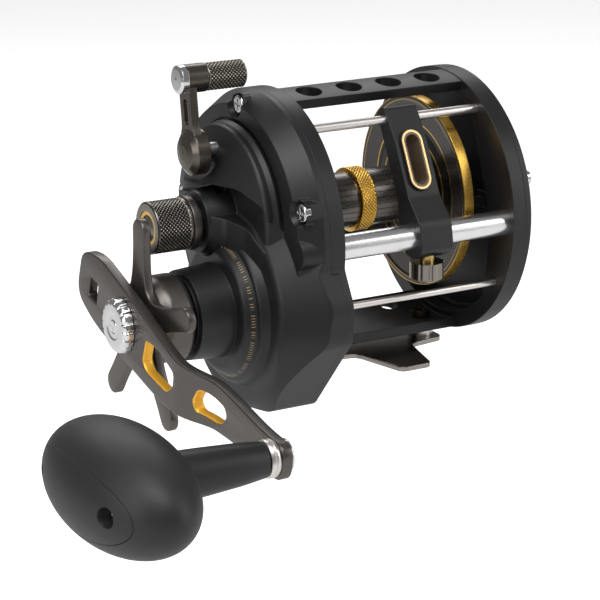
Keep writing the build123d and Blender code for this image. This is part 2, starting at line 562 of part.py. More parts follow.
CUT1 = [(-24.2, 5.4), (-18.2, 5.1), (-18.7, -1.8), (-24.8, -1.2)]
CUT2 = [(16.2, 2.2), (23.6, 3.2), (34.6, 0.4), (34.6, -4.0), (31.0, -7.4), (17.6, -7.2), (15.0, -5.0)]
CUT3 = [(46.2, 0.0), (49.6, 0.9), (58.8, 0.6), (60.4, -1.6), (58.4, -4.6), (54.6, -6.2), (46.0, -6.6), (44.6, -4.2)]
for c in (CUT1, CUT2, CUT3):
    arm -= cutout(c, 1.2)
arm -= (block(-115, -100, HY - 3.45, HY + 3.45, HZ - 2.45, HZ + 2.45) & cyl(-115, -100, 3.45, HY, HZ))
arm -= cyl(-115, -95, 2.6, *KNOB_AT)
put("handle_arm", arm)
print("arm solids", len(arm.solids()))

nut = cyl(-113.2, ARM_X0, 7.6, HY, HZ)
for k in range(20):
    yy, zz = polar(8.0, 360 / 20 * k, HY, HZ)
    nut -= cyl(-114, -109, 0.75, yy, zz)
nut = nut & cone(-113.2, ARM_X0, 7.2, 9.2, HY, HZ)
nut -= cyl(-112.2, ARM_X0 + 1, 2.4, HY, HZ)
put("handle_nut", nut)

# ------------------------------------------------------------------- grip knob
KX = ARM_X0 + ARM_DROP               # front face of the arm at the knob
spindle = cyl(-157.0, KX + 3.4, 2.6, *KNOB_AT) + cyl(-158.9, -156.9, 4.0, *KNOB_AT)
put("knob_spindle", spindle)
put("spindle_rivet", cyl(KX + 3.4, KX + 5.4, 5.0, *KNOB_AT))
put("knob_ferrule", ring(KX - 2.8, KX, 5.8, 2.6, *KNOB_AT))
A_LONG, A_CROSS = 34.9, 17.5         # half length and radius of the grip
egg = []
for k in range(33):
    t = math.pi * k / 32
    egg.append((-A_LONG * math.cos(t), A_CROSS * math.sin(t) if 0 < k < 32 else 0.0))
body = make_face([Spline(*[(KNOB_C[0] - r, KNOB_C[1] + y) for y, r in egg], tangents=[(-1, 0), (1, 0)]), Line((KNOB_C[0] - egg[-1][1], KNOB_C[1] + egg[-1][0]), (KNOB_C[0] - egg[0][1], KNOB_C[1] + egg[0][0]))])
egg_solid = revolve(body, axis=Axis((KNOB_C[0], KNOB_C[1], 0), (0, 1, 0)))
egg_solid = Pos(0, 0, KNOB_C[2]) * egg_solid
# the end cap is an oval plate let into the grip, with its seam on the surface
CAP_X = KNOB_C[0] - 6.6
oval = Pos(0, 0, 0) * Plane(origin=(-200, KNOB_C[1], KNOB_C[2]), x_dir=(0, 1, 0), z_dir=(1, 0, 0)) * Ellipse(28.3, 10.4)
oval_in = Plane(origin=(-200, KNOB_C[1], KNOB_C[2]), x_dir=(0, 1, 0), z_dir=(1, 0, 0)) * Ellipse(28.45, 10.55)
cap = egg_solid & extrude(oval, amount=200 + CAP_X, dir=(1, 0, 0))
grip = egg_solid - extrude(oval_in, amount=200 + CAP_X + 0.05, dir=(1, 0, 0))
grip -= cyl(-158.9, -100, 2.7, *KNOB_AT)
grip -= cyl(CAP_X - 1, -156.4, 4.4, *KNOB_AT)
KSC = ((KNOB_C[1] - 20.0, KNOB_C[2] + 0.6), (KNOB_C[1] + 20.0, KNOB_C[2] - 0.6))
for y, z in KSC:
    cap -= cyl(-190, CAP_X + 1, 1.25, y, z)
    cap -= cyl(-190, -162.6, 2.9, y, z)
    grip -= cyl(CAP_X - 1, -151.0, 1.25, y, z)
put("knob_grip", grip)
put("knob_end_cap", cap)
ks = []
for y, z in KSC:
    s = cyl(-162.6, -152.0, 1.2, y, z) + cyl(-164.1, -162.6, 2.5, y, z)
    s -= phillips(-164.1, y, z, 2.5, 0.9)
    ks.append(s)
put("knob_cap_screws", *ks)
stem = turned([(-140.0, 2.7), (-140.0, 7.5), (-128.0, 6.9), (-116.0, 6.1), (KX - 3.0, 5.3), (KX - 3.0, 2.7)], *KNOB_AT)
stem -= egg_solid
put("knob_stem", stem.solids().sort_by(Axis.X)[-1] if len(stem.solids()) > 1 else stem)

# ------------------------------------------------------------- cast control cap
cap_c = turned([(-97.0, 0), (-97.0, 7.4), (-96.2, 8.3), (-84.6, 8.3), (-84.6, 8.8), (-82.0, 8.8), (-82.0, 6.45), (-88.0, 6.45), (-88.0, 4.4), (-94.6, 4.4), (-94.6, 0)])
put("cast_control_cap", cap_c)

# ---------------------------------------------------------------- clutch lever
LY, LZ = LEVER_AT
TIPY, TIPZ = LEVER_TIP
LX0, LX1 = -82.4, -79.8              # blade
tilt = math.atan2(TIPY - LY, TIPZ - LZ)


def on_lever(u, v):
    """u up the lever from its pivot, v across it towards the front."""
    return (LY + u * math.sin(tilt) - v * math.cos(tilt), LZ + u * math.cos(tilt) + v * math.sin(tilt))


LEN = math.hypot(TIPY - LY, TIPZ - LZ)
blade = prism(rounded([on_lever(0, 7.0) + (2,), on_lever(8, 3.6) + (8,), on_lever(LEN, 3.6) + (1,), on_lever(LEN, -3.4) + (1,), on_lever(8, -3.4) + (8,), on_lever(0, -7.0) + (2,), on_lever(-5, 0) + (3,)]), LX0, LX1)
lever = blade + cyl(LX0, -78.2, 7.2, LY, LZ) + cyl(LX0, -75.6, 4.5, TIPY, TIPZ)
lever -= prism(rounded([on_lever(8.6, 1.3) + (0.9,), on_lever(16.6, 1.3) + (0.9,), on_lever(16.6, -1.3) + (0.9,), on_lever(8.6, -1.3) + (0.9,)]), -84, -77)
lever += turned([(-84.6, 0), (-84.5, 2.4), (-83.9, 5.2), (LX0, 7.2), (LX0 + 0.5, 7.2), (LX0 + 0.5, 0)], LY, LZ)
lever -= cyl(-81.0, -70, 2.4, LY, LZ)
lever -= cyl(-90, -70, 1.5, TIPY, TIPZ)
put("clutch_lever", lever)
thumb = cyl(-75.6, -61.8, 4.4, TIPY, TIPZ) - cyl(-76, -66.0, 1.5, TIPY, TIPZ)
put("lever_thumb_bar", thumb)
screw = cyl(LX0, -66.2, 1.45, TIPY, TIPZ) + turned([(-85.0, 0), (-84.9, 3.4), (-84.3, 4.4), (LX0, 4.5), (LX0, 0)], TIPY, TIPZ)
put("lever_thumb_screw", screw)
cam = cyl(-81.0, -65.6, 2.4, LY, LZ)
cam_disc = cyl(-68.0, -65.6, 4.4, LY, LZ)
put("clutch_cam_shaft", cam + cam_disc)

# --------------------------------------------------------------- pinion, yoke
PIN_PH = PH_M + math.pi + math.pi / TEETH_PINION
pinion = gear(TEETH_PINION, MOD_MAIN, -70.0, -63.2, 0, 0, PIN_PH) + cyl(-71.9, -70.0, 3.6) + cyl(-73.0, -71.9, 5.2)
pinion += cyl(-63.2, -61.6, 5.2)
pinion -= cyl(-80, -60, SHAFT_R + 0.06)
# two dogs on its inner face take the spool's cross pin
pinion -= block(-62.9, -61.0, -1.15, 1.15, -8, 8)
put("pinion", pinion)
yoke = prism(rounded([(9.4, 14.2, 1.5), (9.4, 18.6, 2), (-9.6, 18.8, 2), (-9.6, 14.2, 1.5), (-4.2, 13.6, 1.5), (-4.2, 7.0, 1), (-6.4, 4.0, 1.5), (-6.4, -4.0, 1.2), (6.4, -4.0, 1.2), (6.4, 4.0, 1.5), (4.2, 7.0, 1), (4.2, 13.2, 1.5)]), -71.75, -70.15)
yoke -= cyl(-73, -69, 3.72)
yoke -= block(-73, -69, -3.72, 3.72, -9, 0)
for py, pz in POSTS:
    yoke -= cyl(-73, -69, 1.56, py, pz)
put("clutch_yoke", yoke)
print("yoke solids", len(yoke.solids()))
springs = []
for i, (py, pz) in enumerate(POSTS):
    springs.append(ring(-70.1, -59.5, 2.5, 1.75, py, pz))
put("yoke_springs", *springs)

# anti-reverse dog, its pivot screw and its spring
dy, dz = DOG
ux, uz = HY + 10.9 - dy, HZ - dz
nose = polar(11.25, 0, HY, HZ)
dog = prism(rounded([(dy + 2.6, dz - 1.4, 1.2), (dy + 2.6, dz + 2.6, 1.2), (nose[0] + 2.4, nose[1] + 1.2, 0.3), (nose[0] + 0.15, nose[1] - 0.2, 0.2), (nose[0] + 0.15, nose[1] - 2.0, 0.3), (dy - 2.6, dz - 0.6, 1.2), (dy, dz - 2.8, 1.2)]), -64.8, -63.2)
dog -= cyl(-66, -60, 1.46, dy, dz)
put("anti_reverse_dog", dog)
put("dog_pivot", cyl(-65.0, -57.4, 1.4, dy, dz) + cyl(-65.9, -64.95, 2.4, dy, dz) + ring(-63.1, -59.4, 2.2, 1.3, dy, dz))

# ----------------------------------------------------------------------- spool
XF = -SPOOL_W
spool = turned([
    (XF - FLANGE_T, 0), (XF - FLANGE_T, FLANGE_R), (XF, FLANGE_R), (XF, 27.0), (XF + 1.6, 20.0), (XF + 2.4, 11.2), (XF + 6, ARBOR_R),
    (-25.2, ARBOR_R), (-25.2, ARBOR_R - 0.6), (-19.6, ARBOR_R - 0.6), (-19.6, ARBOR_R), (-6.0, ARBOR_R), (-1.6, 11.2), (0.4, 16.0), (0.9, 21.0), (0.3, 29.0), (0.0, 30.0), (0.0, FLANGE_R), (3.4, FLANGE_R), (3.4, 29.6), (FLANGE_T, 28.9), (FLANGE_T, 0),
])
spool -= turned([(XF - FLANGE_T - 1, 0), (XF - FLANGE_T - 1, 28.5), (XF - 1.2, 28.5), (XF - 0.4, 9.6), (-34, 7.0), (-34, 0)])
spool -= turned([(-12, 0), (-12, 7.0), (-2.0, 8.6), (1.7, 20.0), (1.7, 28.3), (FLANGE_T + 2, 28.3), (FLANGE_T + 2, 0)])
spool -= cyl(-60, 20, SHAFT_R)
put("spool", spool)
band_c = ring(-25.2, -19.6, 10.5, ARBOR_R - 0.6)
put("arbor_band", band_c)
shaft = cyl(-93.8, 13.8, SHAFT_R)
pin_x = -62.0
shaft += block(pin_x - 0.7, pin_x + 0.7, -0.95, 0.95, -5.6, 5.6)
put("spool_shaft", shaft)
click = prism(Wire(Polyline(*[p for k in range(12) for p in (polar(9.2, 30 * k + 9), polar(9.2, 30 * k + 21), polar(7.2, 30 * k + 27), polar(7.2, 30 * k + 33))], close=True).edges()), 4.2, 5.8) - cyl(0, 10, SHAFT_R)
put("click_gear", click)
put("drive_spool_bearing", ring(-80.4, -77.6, 4.6, SHAFT_R + 0.05))
put("tail_spool_bearing", ring(10.6, 14.0, 5.0, SHAFT_R + 0.05))

# clicker on the tail side: a button that slides a tongue into the click gear
cy_, cz_ = CLICK
button = cyl(18.2, 20.4, 4.2, cy_, cz_) + block(15.0, 18.2, cy_ - 1.8, cy_ + 1.8, cz_ - 1.6, cz_ + 1.6)
tongue = block(13.2, 15.0, cy_ - 3.0, cy_ + 3.0, cz_ - 2.6, cz_ + 2.6) + block(4.6, 13.2, cy_ - 1.0, cy_ + 1.0, cz_ - 0.9, cz_ + 0.9)
tongue += block(4.6, 5.6, cy_ - 1.0, -12.8, -0.9, 0.9)
put("clicker_slide", button + tongue)

# ------------------------------------------------------------------ line guide
# black carriage on the upper rail and the worm tube, with a framed eye
GX0, GX1 = -24.4, -12.8
ky, kz = WY - RY, WZ - RZ
LG = math.hypot(ky, kz)
gy, gz = ky / LG, kz / LG            # from the rail to the tube
fy_, fz_ = gz, -gy                   # out to the front


def on_guide(s, t):
    """s along the carriage from the rail, t out to the front."""
    return (RY + s * gy + t * fy_, RZ + s * gz + t * fz_)


if on_guide(0, 1)[0] > RY:
    fy_, fz_ = -fy_, -fz_
sec = [on_guide(-3.8, 1.6) + (1.5,), on_guide(-3.8, -3.0) + (1.5,), on_guide(12, -3.0) + (8,), on_guide(26, -3.0) + (8,), on_guide(LG - 6, -5.6) + (4,), on_guide(LG + 4.0, -6.0) + (2,), on_guide(LG + 7.0, -2.0) + (2,), on_guide(LG + 6.4, 4.0) + (3,), on_guide(LG - 2, 6.4) + (5,), on_guide(LG - 12, 3.4) + (8,), on_guide(8, 3.4) + (5,)]
guide = prism(rounded(sec), GX0, GX1)
guide_mid = Plane(origin=((GX0 + GX1) / 2, *on_guide(14.6, 0)), x_dir=(1, 0, 0), z_dir=(0, fy_, fz_))
waist = []
# narrow the carriage between the eye and the tube
eye_seat = extrude(guide_mid * SlotOverall(18.8, 7.0, rotation=90), amount=12, both=True)
eye_hole = extrude(guide_mid * SlotOverall(16.2, 4.8, rotation=90), amount=12, both=True)
guide -= eye_seat
guide -= cyl(GX0 - 1, GX1 + 1, 1.58, RY, RZ)
guide -= cyl(GX0 - 1, GX1 + 1, 4.1, WY, WZ)
pawl_y, pawl_z = WY, WZ
guide -= Pos((GX0 + GX1) / 2, WY, WZ - 6) * Cylinder(2.6, 12)
put("line_guide", guide)
print("guide solids", len(guide.solids()))
OUT = (0, fy_, fz_)
insert = extrude(guide_mid * SlotOverall(18.8, 7.0, rotation=90), amount=4.2, both=True)
lip = extrude(guide_mid * SlotOverall(20.0, 8.2, rotation=90), amount=4.2, dir=OUT) - extrude(guide_mid * SlotOverall(20.0, 8.2, rotation=90), amount=3.45, dir=OUT)
insert = insert + lip - eye_hole
put("guide_eye_ring", insert)
GXM = (GX0 + GX1) / 2
pawl = Pos(GXM, WY, WZ - 6.4) * Cylinder(2.5, 4.4) + Pos(GXM, WY, WZ - 3.65) * Cylinder(1.3, 1.2)
put("guide_pawl", pawl)
pcap = Pos(GXM, WY, WZ - 11.2) * Cylinder(5.4, 5.2)
for k in range(10):
    a = 2 * math.pi * k / 10
    pcap -= Pos(GXM + 5.75 * math.cos(a), WY + 5.75 * math.sin(a), WZ - 11.2) * Cylinder(0.75, 6)
pcap += Pos(GXM, WY, WZ - 14.3) * Cone(3.6, 5.0, 1.0)
pcap += Pos(GXM, WY, WZ - 13.9) * Cylinder(4.9, 0.3)
put("pawl_cap", pcap)

print("centre distance", round(CENTRE, 3), "module", round(MOD_MAIN, 4))
print("idler to worm", round(math.hypot(WY - IDL[0], WZ - IDL[1]), 3), "handle to idler", round(math.hypot(HY - IDL[0], HZ - IDL[1]), 3))
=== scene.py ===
import bpy
import bmesh
import json
import math
import random
from mathutils import Matrix, Vector


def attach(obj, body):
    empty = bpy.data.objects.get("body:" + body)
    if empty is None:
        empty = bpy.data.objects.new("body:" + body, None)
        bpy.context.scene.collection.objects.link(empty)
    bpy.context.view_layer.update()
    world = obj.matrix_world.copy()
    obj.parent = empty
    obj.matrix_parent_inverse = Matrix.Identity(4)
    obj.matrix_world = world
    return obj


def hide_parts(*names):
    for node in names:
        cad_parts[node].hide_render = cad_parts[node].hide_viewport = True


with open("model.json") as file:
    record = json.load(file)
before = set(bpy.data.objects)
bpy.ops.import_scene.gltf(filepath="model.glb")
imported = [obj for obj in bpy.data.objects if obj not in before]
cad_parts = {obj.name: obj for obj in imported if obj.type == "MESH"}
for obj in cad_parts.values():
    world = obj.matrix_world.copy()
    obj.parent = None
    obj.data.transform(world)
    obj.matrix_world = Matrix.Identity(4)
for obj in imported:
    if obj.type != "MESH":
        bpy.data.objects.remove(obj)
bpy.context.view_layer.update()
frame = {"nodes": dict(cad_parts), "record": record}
random.seed(7)
nodes = frame["nodes"]
MM = 0.001
SX, SY, SZ = 16.0, 0.9, 51.0          # layout origin (spool axis) to row origin, mm
HY, HZ = -7.45, -27.27                # handle axis
WY, WZ = -38.3, -3.5                  # worm axis
KY, KZ = -94.1, -43.4                 # knob spindle
ARM_X0, ARM_X1, DROP = -109.8, -106.4, 4.4


def P(x, y, z):
    """Layout millimetres to row metres."""
    return Vector(((x + SX) * MM, (y + SY) * MM, (z + SZ) * MM))


# ------------------------------------------------------------------ materials
def new_mat(name):
    m = bpy.data.materials.new(name)
    m.use_nodes = True
    nt = m.node_tree
    nt.nodes.clear()
    out = nt.nodes.new("ShaderNodeOutputMaterial")
    b = nt.nodes.new("ShaderNodeBsdfPrincipled")
    nt.links.new(b.outputs[0], out.inputs[0])
    return m, nt, b


def node(nt, kind, **kw):
    n = nt.nodes.new(kind)
    for k, v in kw.items():
        setattr(n, k, v)
    return n


def math_n(nt, op, a, b=None, c=None, clamp=False):
    n = nt.nodes.new("ShaderNodeMath")
    n.operation = op
    n.use_clamp = clamp
    for i, v in enumerate((a, b, c)):
        if v is None:
            continue
        if isinstance(v, (int, float)):
            n.inputs[i].default_value = v
        else:
            nt.links.new(v, n.inputs[i])
    return n.outputs[0]


def mix_col(nt, fac, a, b):
    n = nt.nodes.new("ShaderNodeMix")
    n.data_type = "RGBA"
    for sock, v in ((n.inputs[0], fac), (n.inputs[6], a), (n.inputs[7], b)):
        if isinstance(v, (int, float)):
            sock.default_value = v
        elif isinstance(v, (tuple, list)):
            sock.default_value = (*v, 1.0) if len(v) == 3 else v
        else:
            nt.links.new(v, sock)
    return n.outputs[2]


def mix_val(nt, fac, a, b):
    n = nt.nodes.new("ShaderNodeMix")
    n.data_type = "FLOAT"
    for sock, v in ((n.inputs[0], fac), (n.inputs[2], a), (n.inputs[3], b)):
        if isinstance(v, (int, float)):
            sock.default_value = v
        else:
            nt.links.new(v, sock)
    return n.outputs[0]


def coords(nt):
    """Object coordinates in layout millimetres."""
    t = nt.nodes.new("ShaderNodeTexCoord")
    s = nt.nodes.new("ShaderNodeSeparateXYZ")
    nt.links.new(t.outputs["Object"], s.inputs[0])
    x = math_n(nt, "SUBTRACT", math_n(nt, "MULTIPLY", s.outputs[0], 1000.0), SX)
    y = math_n(nt, "SUBTRACT", math_n(nt, "MULTIPLY", s.outputs[1], 1000.0), SY)
    z = math_n(nt, "SUBTRACT", math_n(nt, "MULTIPLY", s.outputs[2], 1000.0), SZ)
    return t.outputs["Object"], x, y, z


def radius(nt, y, z, y0=0.0, z0=0.0):
    dy, dz = math_n(nt, "SUBTRACT", y, y0), math_n(nt, "SUBTRACT", z, z0)
    r = math_n(nt, "SQRT", math_n(nt, "ADD", math_n(nt, "MULTIPLY", dy, dy), math_n(nt, "MULTIPLY", dz, dz)))
    return r, math_n(nt, "ARCTAN2", dz, dy)


def band(nt, v, lo, hi, soft=0.03):
    """1 between lo and hi, 0 outside."""
    a = math_n(nt, "DIVIDE", math_n(nt, "SUBTRACT", v, lo), soft, clamp=True)
    b = math_n(nt, "DIVIDE", math_n(nt, "SUBTRACT", hi, v), soft, clamp=True)
    return math_n(nt, "MULTIPLY", a, b)


def noise(nt, co, scale, detail=3.0, rough=0.55, stretch=None):
    n = nt.nodes.new("ShaderNodeTexNoise")
    n.inputs["Scale"].default_value = scale
    n.inputs["Detail"].default_value = detail
    n.inputs["Roughness"].default_value = rough
    if stretch:
        m = nt.nodes.new("ShaderNodeMapping")
        m.inputs["Scale"].default_value = stretch
        nt.links.new(co, m.inputs[0])
        co = m.outputs[0]
    nt.links.new(co, n.inputs["Vector"])
    return n.outputs[0]


def finish_mat(nt, b, co, rough, spread=0.06, grain=2600.0, bump=0.04, edge=0.3, scale=140.0, stretch=None, base=None, tint=0.08):
    """Roughness variation, fine grain, soft edges and a slight tone variation."""
    n1 = noise(nt, co, scale, 4.0, 0.6, stretch)
    r = math_n(nt, "ADD", math_n(nt, "MULTIPLY", math_n(nt, "SUBTRACT", n1, 0.5), spread * 2), rough)
    nt.links.new(r, b.inputs["Roughness"])
    bev = nt.nodes.new("ShaderNodeBevel")
    bev.samples = 6
    bev.inputs["Radius"].default_value = edge * MM
    n2 = noise(nt, co, grain, 2.0, 0.5, stretch)
    bp = nt.nodes.new("ShaderNodeBump")
    bp.inputs["Strength"].default_value = bump
    bp.inputs["Distance"].default_value = 0.0002
    nt.links.new(n2, bp.inputs["Height"])
    nt.links.new(bev.outputs[0], bp.inputs["Normal"])
    nt.links.new(bp.outputs[0], b.inputs["Normal"])
    if base is not None:
        n3 = noise(nt, co, 60.0, 5.0, 0.6)
        f = math_n(nt, "ADD", math_n(nt, "MULTIPLY", math_n(nt, "SUBTRACT", n3, 0.5), tint * 2), 1.0)
        if isinstance(base, (tuple, list)):
            rgb = nt.nodes.new("ShaderNodeRGB")
            rgb.outputs[0].default_value = (*base, 1.0)
            base = rgb.outputs[0]
        vm = nt.nodes.new("ShaderNodeVectorMath")
        vm.operation = "SCALE"
        nt.links.new(base, vm.inputs[0])
        nt.links.new(f, vm.inputs["Scale"])
        nt.links.new(vm.outputs[0], b.inputs["Base Color"])
    return bp


def simple(name, col, metallic, rough, **kw):
    m, nt, b = new_mat(name)
    co = node(nt, "ShaderNodeTexCoord").outputs["Object"]
    b.inputs["Metallic"].default_value = metallic
    coat = kw.pop("coat", 0.0)
    b.inputs["Coat Weight"].default_value = coat
    b.inputs["Coat Roughness"].default_value = 0.25
    finish_mat(nt, b, co, rough, base=col, **kw)
    return m


GOLD = (0.78, 0.47, 0.09)
DARK = (0.0105, 0.0098, 0.0100)
GUN = (0.135, 0.122, 0.112)

M = {}
M["black_frame"] = simple("black_frame", DARK, 0.0, 0.42, spread=0.05, bump=0.05, edge=0.45)
M["gunmetal"] = simple("gunmetal", GUN, 0.85, 0.34, spread=0.05, bump=0.05, edge=0.4, scale=300.0)
M["gold_trim"] = simple("gold_trim", GOLD, 1.0, 0.26, spread=0.06, bump=0.04, edge=0.12)
M["gold_edge"] = simple("gold_edge", (0.86, 0.52, 0.1), 0.9, 0.3, spread=0.05, bump=0.03, edge=0.1)
M["bronze_trim"] = simple("bronze_trim", (0.135, 0.122, 0.100), 0.95, 0.27, spread=0.06, bump=0.04, edge=0.12)
M["chrome_part"] = simple("chrome_part", (0.80, 0.80, 0.81), 1.0, 0.10, spread=0.03, bump=0.01, edge=0.2)
M["stainless"] = simple("stainless", (0.82, 0.78, 0.75), 1.0, 0.33, spread=0.06, bump=0.05, edge=0.25, grain=900.0, stretch=(0.05, 1, 1))
M["bright_stainless"] = simple("bright_stainless", (0.34, 0.31, 0.285), 1.0, 0.25, spread=0.07, bump=0.05, edge=0.45, grain=900.0, stretch=(1, 0.06, 1))
M["nickel"] = simple("nickel", (0.31, 0.285, 0.25), 1.0, 0.26, spread=0.06, bump=0.03, edge=0.2)
M["gear_brass"] = simple("gear_brass", (0.62, 0.45, 0.16), 1.0, 0.3, edge=0.08)
M["gear_steel"] = simple("gear_steel", (0.5, 0.49, 0.48), 1.0, 0.3, edge=0.1)
M["carbon_washer"] = simple("carbon_washer", (0.03, 0.03, 0.032), 0.0, 0.6, edge=0.05, grain=1200.0, bump=0.3)
M["spring_steel"] = simple("spring_steel", (0.42, 0.42, 0.42), 1.0, 0.28, edge=0.1)
M["bearing_steel"] = simple("bearing_steel", (0.62, 0.62, 0.62), 1.0, 0.18, edge=0.15)
M["black_plastic"] = simple("black_plastic", (0.0105, 0.010, 0.0105), 0.0, 0.43, spread=0.05, bump=0.06, edge=0.5)
M["seal_rubber"] = simple("seal_rubber", (0.006, 0.006, 0.006), 0.0, 0.5, spread=0.05, bump=0.05, edge=0.3)
M["soft_grip"] = simple("soft_grip", (0.016, 0.0155, 0.016), 0.0, 0.5, spread=0.04, bump=0.05, edge=0.4)
M["ceramic_gold"] = simple("ceramic_gold", (0.87, 0.60, 0.32), 0.55, 0.22, spread=0.03, bump=0.02, edge=0.3)

for n, o in nodes.items():
    rec_slot = [s["material_slot"] for s in frame["record"]["subparts"] if s["node"] == n][0]
    o.data.materials.clear()
    o.data.materials.append(M.get(rec_slot, M["black_frame"]))


# the drive cover: a printed tick scale round the gear boss
def cover_material():
    m, nt, b = new_mat("drive_cover_print")
    co, x, y, z = coords(nt)
    b.inputs["Metallic"].default_value = 0.0
    r, a = radius(nt, y, z, HY, HZ)
    ringm = math_n(nt, "MULTIPLY", band(nt, r, 20.95, 21.75, 0.08), band(nt, x, -78.4, -73.9, 0.05))
    deg = math_n(nt, "MULTIPLY", a, 180 / math.pi)
    cell = math_n(nt, "FLOOR", math_n(nt, "DIVIDE", deg, 2.4))
    fr = math_n(nt, "FRACT", math_n(nt, "DIVIDE", deg, 2.4))
    wn = nt.nodes.new("ShaderNodeTexWhiteNoise")
    wn.noise_dimensions = "1D"
    nt.links.new(cell, wn.inputs["W"])
    tick = math_n(nt, "MULTIPLY", band(nt, fr, 0.2, 0.55, 0.06), math_n(nt, "GREATER_THAN", wn.outputs[0], 0.06))
    group = math_n(nt, "FRACT", math_n(nt, "DIVIDE", deg, 24.0))
    gap = band(nt, group, 0.06, 0.94, 0.01)
    mask = math_n(nt, "MULTIPLY", math_n(nt, "MULTIPLY", ringm, tick), gap)
    col = mix_col(nt, math_n(nt, "MULTIPLY", mask, 0.8), DARK, (0.42, 0.31, 0.15))
    finish_mat(nt, b, co, 0.42, spread=0.05, bump=0.05, edge=0.5, base=col)
    return m


def spool_material():
    m, nt, b = new_mat("spool_two_tone")
    co, x, y, z = coords(nt)
    r, a = radius(nt, y, z)
    rim = math_n(nt, "MULTIPLY", math_n(nt, "GREATER_THAN", r, 31.2), band(nt, x, -0.2, 4.2, 0.05))
    face = band(nt, x, -1.4, 1.2, 0.05)
    l1 = math_n(nt, "MULTIPLY", band(nt, r, 22.6, 23.15, 0.08), face)
    l2 = math_n(nt, "MULTIPLY", band(nt, r, 17.6, 18.15, 0.08), face)
    l3 = math_n(nt, "MULTIPLY", band(nt, r, 29.9, 30.15, 0.05), face)
    dr = math_n(nt, "MULTIPLY", band(nt, r, 28.9, 31.3, 0.06), band(nt, x, -50.0, -46.9, 0.05))
    mask = rim
    for k in (l1, l2, l3, dr):
        mask = math_n(nt, "MAXIMUM", mask, k)
    step = math_n(nt, "MULTIPLY", band(nt, r, 12.0, 22.5, 0.2), face)
    dark = mix_col(nt, step, (0.10, 0.094, 0.090), (0.04, 0.038, 0.036))
    # the arbor is turned with fine lengthwise flutes, drawn as dark lines of painted shade
    arb = math_n(nt, "LESS_THAN", r, 10.0)
    fl = math_n(nt, "FRACT", math_n(nt, "MULTIPLY", a, 30 / (2 * math.pi)))
    flute_shade = math_n(nt, "MULTIPLY", band(nt, fl, 0.0, 0.16, 0.03), arb)
    dark = mix_col(nt, math_n(nt, "MULTIPLY", arb, 0.7), dark, (0.19, 0.175, 0.16))
    # painted shade along each flute
    dark = mix_col(nt, flute_shade, dark, (0.03, 0.028, 0.027))
    col = mix_col(nt, mask, dark, GOLD)
    b.inputs["Metallic"].default_value = 0.9
    finish_mat(nt, b, co, 0.27, spread=0.05, bump=0.03, edge=0.25, base=col, scale=220.0)
    return m


# the guide's eye: thin bright frame, and a dark throat that is painted shade, a dimmed copy of the gold
def eye_material():
    m, nt, b = new_mat("eye_frame")
    co, x, y, z = coords(nt)
    ry, rz = -21.4, 30.4
    ln = math.hypot(WY - ry, WZ - rz)
    gy, gz = (WY - ry) / ln, (WZ - rz) / ln
    u = math_n(nt, "ADD", math_n(nt, "MULTIPLY", math_n(nt, "SUBTRACT", y, ry), gy), math_n(nt, "MULTIPLY", math_n(nt, "SUBTRACT", z, rz), gz))
    u = math_n(nt, "MAXIMUM", math_n(nt, "SUBTRACT", math_n(nt, "ABSOLUTE", math_n(nt, "SUBTRACT", u, 14.6)), 5.9), 0.0)
    w = math_n(nt, "SUBTRACT", x, -18.6)
    d = math_n(nt, "SQRT", math_n(nt, "ADD", math_n(nt, "MULTIPLY", u, u), math_n(nt, "MULTIPLY", w, w)))
    mask = band(nt, d, 2.95, 3.7, 0.08)
    throat_shade_mask = math_n(nt, "LESS_THAN", d, 2.9)
    # painted shade: inside the throat the gold is darkened about sevenfold
    dark = mix_col(nt, throat_shade_mask, DARK, (0.13, 0.088, 0.05))
    col = mix_col(nt, mask, dark, (0.90, 0.58, 0.26))
    nt.links.new(mix_val(nt, mask, 0.25, 0.8), b.inputs["Metallic"])
    finish_mat(nt, b, co, 0.26, spread=0.04, bump=0.02, edge=0.2, base=col)
    return m


M["cover"] = cover_material()
M["eye"] = eye_material()
M["tube_polish"] = simple("tube_polish", (0.90, 0.90, 0.91), 1.0, 0.25, spread=0.05, bump=0.02, edge=0.2)
M["lever_bronze"] = simple("lever_bronze", (0.125, 0.110, 0.094), 0.9, 0.26, spread=0.05, bump=0.04, edge=0.5, scale=300.0)
nodes["guide_eye_ring"].data.materials[0] = M["eye"]
nodes["worm_tube"].data.materials[0] = M["tube_polish"]
nodes["clutch_lever"].data.materials[0] = M["lever_bronze"]
M["spool"] = spool_material()
nodes["drive_side_cover"].data.materials[0] = M["cover"]
nodes["spool"].data.materials[0] = M["spool"]


# --------------------------------------------------------------- mesh helpers
def add(name, me, mat, body, slot, *replace, smooth=30):
    o = bpy.data.objects.new(name, me)
    bpy.context.scene.collection.objects.link(o)
    if not me.materials:
        me.materials.append(mat)
    for p in me.polygons:
        p.use_smooth = True
    if smooth:
        me.set_sharp_from_angle(angle=math.radians(smooth))
    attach(o, body)
    if replace:
        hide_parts(*replace)
    return o


def lathe(name, prof, y, z, seg=128, shape=None, closed=True):
    """Mesh turned about the line (y, z) along X, from (x, r) points. shape(theta, x, r) may return another r."""
    bm = bmesh.new()
    rows = []
    for x, r in prof:
        row = []
        for k in range(seg):
            t = 2 * math.pi * k / seg
            rr = shape(t, x, r) if shape else r
            row.append(bm.verts.new(P(x, y + rr * math.cos(t), z + rr * math.sin(t))))
        rows.append(row)
    n = len(rows)
    for i in range(n if closed else n - 1):
        a, b2 = rows[i], rows[(i + 1) % n]
        for k in range(seg):
            q = (a[k], a[(k + 1) % seg], b2[(k + 1) % seg], b2[k])
            try:
                bm.faces.new(q)
            except ValueError:
                pass
    bmesh.ops.remove_doubles(bm, verts=bm.verts, dist=1e-7)
    bmesh.ops.recalc_face_normals(bm, faces=bm.faces)
    me = bpy.data.meshes.new(name)
    bm.to_mesh(me)
    bm.free()
    return me


